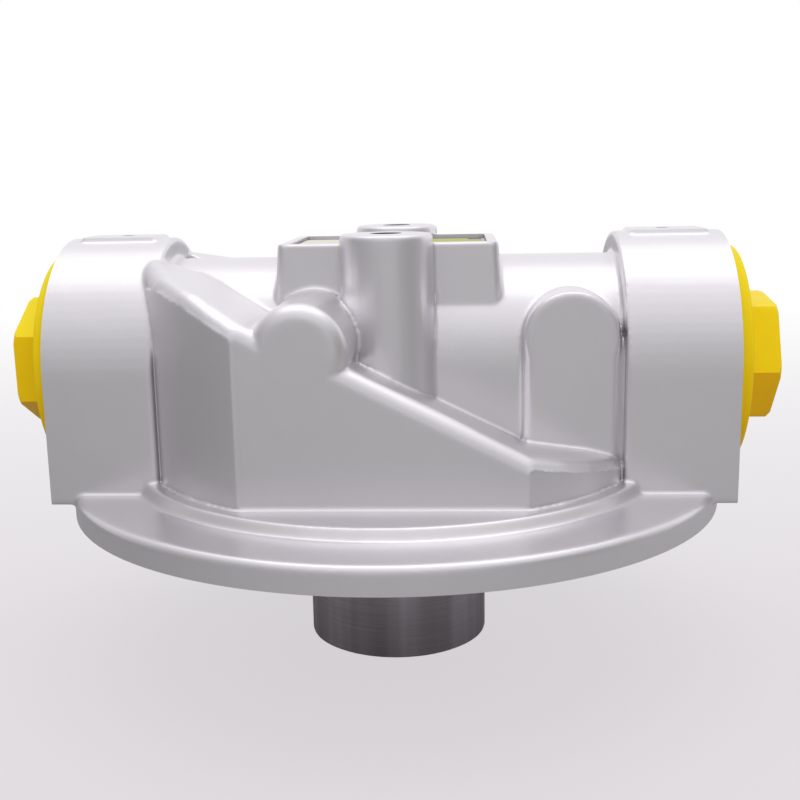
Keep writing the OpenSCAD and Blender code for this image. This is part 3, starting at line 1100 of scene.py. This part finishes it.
@dataclass
class CentreSpigot:
    """Turned steel tube that the canister screws onto."""

    finishes: Finishes
    radius: float = 22.225 * MM
    bore: float = 17.5 * MM
    top_z: float = 13.0 * MM
    chamfer: float = 0.8 * MM
    chamfer_bulge: Span = (0.15, 0.5)
    relief: Span = (0.6 * MM, 1.5 * MM)
    relief_floor: Span = (0.3, 0.7)
    facets: int = 160
    crease: float = 25.0

    def build(self) -> None:
        """Turns the spigot, with a rounded foot and a relief groove under the casting."""
        r, b, c = self.radius, self.bore, self.chamfer
        depth, width = self.relief
        outline = [
            (b + c, FOOT_Z),
            (r - c, FOOT_Z),
            (r - self.chamfer_bulge[0] * c, FOOT_Z + self.chamfer_bulge[1] * c),
            (r, FOOT_Z + c),
            (r, 0.0),
            (r - depth, self.relief_floor[0] * width),
            (r - depth, self.relief_floor[1] * width),
            (r, width),
            (r, self.top_z),
            (b, self.top_z),
            (b, FOOT_Z + c),
        ]
        coats = [self.finishes.spigot]
        piece = Workshop.turned("centre_spigot_looks", outline, self.facets, self.crease, coats)
        Workshop.register(piece, Slot.SPIGOT, "centre_spigot")


@dataclass
class PortPlug:
    """Moulded yellow screw plug with a flange, a hexagon and a threaded hollow shank."""

    finishes: Finishes
    side: Side
    corner_rise: float
    facets: int = 128
    flange_r: float = 26.4 * MM
    flange_t: float = 3.4 * MM
    flange_edge: float = 0.7 * MM
    flange_edge_steps: int = 5
    hex_af: float = 27.4 * MM
    hex_chamfer: float = 0.8 * MM
    height: float = 12.5 * MM
    shank_r: float = 20.91 * MM
    shank_len: float = 14.0 * MM
    lead_in: float = 0.6 * MM
    wall: float = 2.2 * MM
    overlap: float = 1.0 * MM
    edge: float = 0.35 * MM
    edge_steps: int = 2
    thread_pitch: float = 2.309 * MM
    thread_depth: float = 1.2 * MM
    thread_half: float = 0.45
    thread_crest: Span = (0.8, 1.2)
    thread_sink: float = 0.3 * MM
    thread_start: float = 1.2 * MM
    thread_margin: float = 2 * MM
    thread_steps: int = 64

    def build(self) -> None:
        """Moulds the plug and sets it in its port."""
        name = f"{self.side.name.lower()}_port_plug"
        piece = self.turned(f"{name}_looks", self.outer_outline())
        head = self.hexagon()
        Workshop.cut(head, self.turned("chamfer", self.chamfer_outline()), "INTERSECT")
        Workshop.cut(piece, head, "UNION")
        Workshop.cut(piece, self.turned("hollow", self.hollow_outline()))
        Workshop.round_edges(piece, self.edge, self.edge_steps)
        mesh = bmesh.new()
        mesh.from_mesh(piece.data)
        self.add_thread(mesh)
        self.place(mesh)
        mesh.to_mesh(piece.data)
        mesh.free()
        Workshop.coat(piece, self.finishes.plastic)
        Workshop.shade(piece, PLUG_CREASE)
        Workshop.register(piece, Slot.PLUG, name)

    def turned(self, name: str, outline: Sequence[Span]) -> bpy.types.Object:
        """Makes a round solid of the plug from its outline."""
        return Workshop.turned(name, outline, self.facets, PLUG_CREASE)

    def outer_outline(self) -> list[Span]:
        """Lists the corners of the flange and the shank, with the flange's rounded rim.

        Returns:
            Radius and height of each corner.
        """
        core = self.shank_r - self.thread_depth
        edge = self.flange_edge
        step = 90 // self.flange_edge_steps
        rim = [
            (self.flange_r - edge + edge * math.cos(a), self.flange_t - edge + edge * math.sin(a))
            for a in (math.radians(step * k) for k in range(self.flange_edge_steps + 1))
        ]
        return [
            (0.0, -self.shank_len),
            (core - self.lead_in, -self.shank_len),
            (core, -self.shank_len + self.lead_in),
            (core, 0.0),
            (self.flange_r, 0.0),
            *rim,
            (0.0, self.flange_t),
        ]

    def hollow_outline(self) -> list[Span]:
        """Lists the corners of the hollow in the shank and the hexagon.

        Returns:
            Radius and height of each corner.
        """
        inner = self.shank_r - self.wall
        recess = self.hex_af / 2 - self.wall
        return [
            (0.0, -self.shank_len - self.overlap),
            (inner, -self.shank_len - self.overlap),
            (inner, 0.0),
            (recess, 0.0),
            (recess, self.height - self.wall),
            (0.0, self.height - self.wall),
        ]

    def chamfer_outline(self) -> list[Span]:
        """Lists the corners of the turned body that chamfers the hexagon's corners.

        Returns:
            Radius and height of each corner.
        """
        corner = self.hex_af / math.sqrt(3)
        return [
            (0.0, 0.0),
            (corner + self.overlap, 0.0),
            (corner + self.overlap, self.height - self.hex_chamfer - self.overlap),
            (corner, self.height - self.hex_chamfer),
            (corner - self.hex_chamfer, self.height),
            (0.0, self.height),
        ]

    def hexagon(self) -> bpy.types.Object:
        """Makes the hexagon's prism, with a corner at its set rise on the viewer's side.

        Returns:
            The prism, with its axis on Z and its foot inside the flange.
        """
        mesh = bmesh.new()
        foot = self.flange_t / 2
        corner = mesh.verts.new((self.hex_af / math.sqrt(3), 0.0, foot))
        Workshop.spin(mesh, [corner], 6)
        bmesh.ops.remove_doubles(mesh, verts=mesh.verts, dist=WELD)
        bmesh.ops.contextual_create(mesh, geom=list(mesh.edges))
        grown = bmesh.ops.extrude_face_region(mesh, geom=list(mesh.faces))["geom"]
        top = [v for v in grown if isinstance(v, bmesh.types.BMVert)]
        bmesh.ops.translate(mesh, verts=top, vec=(0.0, 0.0, self.height - foot))
        turn = math.radians(-90.0 - self.side.value * self.corner_rise)
        bmesh.ops.rotate(mesh, verts=mesh.verts, matrix=Matrix.Rotation(turn, 3, "Z"))
        bmesh.ops.recalc_face_normals(mesh, faces=mesh.faces)
        return Workshop.finish(mesh, "hexagon", angle=PLUG_CREASE)

    def add_thread(self, mesh: bmesh.types.BMesh) -> None:
        """Winds a ridge round the shank, sunk a little into it as a shell of its own.

        Args:
            mesh: The plug's mesh.
        """
        root = self.shank_r - self.thread_depth - self.thread_sink
        half = self.thread_half * self.thread_pitch
        turns = (self.shank_len - self.thread_margin - 2 * half) / self.thread_pitch
        start = -self.shank_len + self.thread_start
        corners_of_ridge = [
            (root, start),
            (self.shank_r, start + self.thread_crest[0] * half),
            (self.shank_r, start + self.thread_crest[1] * half),
            (root, start + 2 * half),
        ]
        part = bmesh.new()
        verts = [part.verts.new((radius, 0.0, height)) for radius, height in corners_of_ridge]
        face = part.faces.new(verts)
        steps = int(turns * self.thread_steps)
        Workshop.spin(part, [face], steps, turns, turns * self.thread_pitch / steps)
        bmesh.ops.recalc_face_normals(part, faces=part.faces)
        data = bpy.data.meshes.new("thread")
        part.to_mesh(data)
        part.free()
        mesh.from_mesh(data)
        bpy.data.meshes.remove(data)

    def place(self, mesh: bmesh.types.BMesh) -> None:
        """Turns the plug to its port and moves it there.

        Args:
            mesh: The plug's mesh.
        """
        sign = self.side.value
        turn = Matrix.Rotation(sign * math.pi / 2, 4, "Y")
        move = Matrix.Translation((sign * PORT_FACE_X, 0.0, PORT_AXIS_Z))
        bmesh.ops.transform(mesh, matrix=move @ turn, verts=mesh.verts)


@dataclass
class NamePlate:
    """Thin plate in the label pocket, with generic fields of colour."""

    finishes: Finishes
    corner: float = 0.8 * MM
    corner_steps: int = 6

    def build(self) -> None:
        """Cuts the plate to the size of its solid."""
        low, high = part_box("name_plate")
        mesh = bmesh.new()
        Workshop.box(mesh, (low + high) / 2, high - low)
        Workshop.bevel(mesh, Workshop.upright(mesh), self.corner, self.corner_steps)
        piece = Workshop.finish(mesh, "name_plate_looks", [self.finishes.label])
        Workshop.register(piece, Slot.LABEL, "name_plate")


@dataclass
class BypassValve:
    """The valve inside the head, whose solids only need their finishes."""

    frame: dict[str, Any]
    finishes: Finishes

    def build(self) -> None:
        """Gives each of the valve's solids its finish."""
        coats = {
            "valve_body": self.finishes.steel,
            "valve_body_o_ring": self.finishes.rubber,
            "bypass_poppet": self.finishes.brass,
            "poppet_seal": self.finishes.rubber,
            "seal_clamp_washer": self.finishes.steel,
            "seal_screw": self.finishes.black_steel,
            "spring_retainer": self.finishes.steel,
            "retaining_ring": self.finishes.black_steel,
        }
        for node, coat in coats.items():
            Workshop.coat(self.frame["nodes"][node], coat)
            LOG.info("%s: dressed", node)


@dataclass
class BypassSpring:
    """The valve's spring, which shortens as the poppet leaves its seat."""

    frame: dict[str, Any]
    finishes: Finishes
    fixed_end_x: float = 3.0 * MM
    poppet_x: float = -10.0 * MM
    lift: float = 6.0 * MM
    crease: float = 50.0

    def build(self) -> None:
        """Copies the spring's solid and gives it its finish."""
        mesh = bmesh.new()
        mesh.from_mesh(self.frame["nodes"]["bypass_spring"].data)
        bmesh.ops.remove_doubles(mesh, verts=mesh.verts, dist=WELD)
        coats = [self.finishes.spring]
        piece = Workshop.finish(mesh, "bypass_spring_looks", coats, self.crease)
        Workshop.register(piece, Slot.SPRING, "bypass_spring")
        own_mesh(piece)


@dataclass(frozen=True)
class SoftBox:
    """A rectangular lamp that faces the head, with its power in watts."""

    name: str
    place: Size
    size: Span
    power: float
    mirrored: bool = True
    aim_z: float = 20 * MM

    def hang(self) -> None:
        """Hangs the lamp."""
        data = bpy.data.lights.new(self.name, "AREA")
        data.shape = "RECTANGLE"
        data.size, data.size_y = self.size
        data.energy = self.power
        lamp = bpy.data.objects.new(self.name, data)
        lamp.location = self.place
        aim = Vector((0.0, 0.0, self.aim_z)) - Vector(self.place)
        lamp.rotation_euler = aim.to_track_quat("-Z", "Y").to_euler()
        lamp.visible_glossy = self.mirrored
        bpy.context.scene.collection.objects.link(lamp)


@dataclass(frozen=True)
class DarkSpot:
    """A round darker place on the floor that only mirrored and scattered light meets."""

    centre: Size
    reach: Span
    level: float


@dataclass
class Studio:
    """Camera at the photograph's viewing angle, pale floor and soft light."""

    lens: float = 50.65
    clip: Span = (0.01, 20.0)
    azimuth: float = 3.20
    elevation: float = 11.19
    roll: float = -1.04
    distance: float = 282.0 * MM
    target: Size = (1.25 * MM, 0.0, 21.89 * MM)
    floor_size: float = 4.0
    floor_shade: Colour = (0.775, 0.745, 0.77)
    floor_white: Colour = (1.0, 1.0, 1.0)
    shade_span: Span = (-0.15, 0.75)
    glow_span: Span = (0.0, 0.75)
    glow_share: Span = (0.8, 1.0)
    mirrored_floor: float = 0.42
    dark_spots: tuple[DarkSpot, ...] = (
        DarkSpot((-0.45, 0.0, FOOT_Z), (0.1, 0.5), 0.6),
        DarkSpot((0.42, -0.30, FOOT_Z), (0.05, 0.3), 0.6),
    )
    soft_boxes: tuple[SoftBox, ...] = (
        SoftBox("top_box", (0.0, 0.15, 1.0), (1.2, 0.8), 1.6),
        SoftBox("front_fill", (0.25, -1.3, 0.35), (1.0, 0.7), 4.0, mirrored=False),
    )
    room_colour: Colour = (1.0, 0.995, 1.01)
    front_level: float = 0.52
    sky_level: float = 0.95
    sky_span: Span = (0.1, 1.0)
    back_span: Span = (-0.1, 0.5)
    left_level: float = 0.7
    left_span: Span = (-1.0, -0.3)
    right_level: float = 0.6
    right_span: Span = (0.3, 0.85)

    def build(self) -> None:
        """Sets up the camera, the floor, the lamps and the world."""
        self.place_camera()
        self.lay_floor()
        for soft_box in self.soft_boxes:
            soft_box.hang()
        self.paint_world()
        bpy.context.scene.view_settings.view_transform = "Standard"

    def place_camera(self) -> None:
        """Creates the camera and makes it the scene's own."""
        a, e, roll = (math.radians(v) for v in (self.azimuth, self.elevation, self.roll))
        back = Vector((math.sin(a) * math.cos(e), -math.cos(a) * math.cos(e), math.sin(e)))
        level = (-back).cross(Vector((0.0, 0.0, 1.0))).normalized()
        upright = level.cross(-back)
        right = math.cos(roll) * level + math.sin(roll) * upright
        up = math.cos(roll) * upright - math.sin(roll) * level
        data = bpy.data.cameras.new("camera")
        data.lens = self.lens
        data.clip_start, data.clip_end = self.clip
        camera = bpy.data.objects.new("camera", data)
        turn = Matrix((right, up, back)).transposed().to_4x4()
        place = Vector(self.target) + back * self.distance
        camera.matrix_world = Matrix.Translation(place) @ turn
        bpy.context.scene.collection.objects.link(camera)
        bpy.context.scene.camera = camera

    def lay_floor(self) -> None:
        """Lays a wide pale floor under the spigot, which keeps the shadow."""
        mesh = bmesh.new()
        bmesh.ops.create_grid(mesh, x_segments=1, y_segments=1, size=self.floor_size)
        bmesh.ops.translate(mesh, verts=mesh.verts, vec=(0.0, 0.0, FOOT_Z))
        floor = Workshop.finish(mesh, "studio_floor", [self.floor_finish()])

    def floor_finish(self) -> bpy.types.Material:
        """Builds the floor's material: pale to the camera, greyer to every other ray.

        Returns:
            The floor material.
        """
        material, sheet = NodeSheet.coat("studio_floor")
        axes = sheet.axes()
        # To the camera the floor is painted greyer in front of the head and white far behind it:
        # painted shade.
        far = sheet.ramp(axes["Y"], self.shade_span)
        shade = sheet.tint(far, self.floor_shade, self.floor_white)
        pale = sheet.add("BsdfDiffuse", {"Color": shade})
        glow = sheet.add("Emission", {"Color": shade, "Strength": 1.0})
        share = sheet.ramp(axes["Y"], self.glow_span, self.glow_share)
        seen = sheet.mixed(share, pale, glow)
        level: Any = self.mirrored_floor
        for spot in self.dark_spots:
            gap = sheet.add("VectorMath", {0: sheet.coords, 1: spot.centre}, operation="DISTANCE")
            dim = sheet.ramp(gap.outputs["Value"], spot.reach, (spot.level, 1.0))
            level = sheet.calculate("MULTIPLY", level, dim)
        grey = sheet.add("CombineXYZ", {"X": level, "Y": level, "Z": level})
        lit = sheet.add("BsdfDiffuse", {"Color": grey.outputs[0]})
        path = sheet.add("LightPath", {})
        surface = sheet.mixed(path.outputs["Is Camera Ray"], lit, seen)
        sheet.fill(sheet.tree.nodes["Material Output"], {"Surface": surface.outputs[0]})
        return material

    def paint_world(self) -> None:
        """Paints the world: white to the camera, and a room of soft greys to other rays."""
        world = bpy.data.worlds.new("studio")
        bpy.context.scene.world = world
        sheet = NodeSheet(world, "Generated")
        axes = sheet.axes()
        up = sheet.ramp(axes["Z"], self.sky_span)
        behind = sheet.ramp(axes["Y"], self.back_span)
        bright = sheet.calculate("MAXIMUM", up, behind)
        right = sheet.ramp(axes["X"], self.right_span, (1.0, self.right_level))
        front = sheet.calculate("MULTIPLY", right, self.front_level)
        left = sheet.ramp(axes["X"], self.left_span, (self.left_level, 1.0))
        level = sheet.calculate("MULTIPLY", sheet.stretch(bright, (front, self.sky_level)), left)
        white = sheet.add("Background", {"Color": (1.0, 1.0, 1.0, 1.0)})
        room = sheet.add("Background", {"Color": (*self.room_colour, 1.0), "Strength": level})
        path = sheet.add("LightPath", {})
        seen = sheet.mixed(path.outputs["Is Camera Ray"], room, white)
        sheet.fill(sheet.tree.nodes["World Output"], {"Surface": seen.outputs[0]})


def main() -> None:
    """Builds the studio and every piece, in order."""
    logging.basicConfig(level=logging.INFO, format="%(name)s: %(message)s")
    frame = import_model()
    finishes = Finishes.mix()
    Studio().build()
    builders: list[Callable[[], None]] = [
        HeadCasting(frame, finishes).build,
        CentreSpigot(finishes).build,
        PortPlug(finishes, Side.INLET, 29.0).build,
        PortPlug(finishes, Side.OUTLET, -8.0).build,
        NamePlate(finishes).build,
        BypassValve(frame, finishes).build,
        BypassSpring(frame, finishes).build,
    ]
    for build in builders:
        build()


if __name__ == "__main__":
    main()
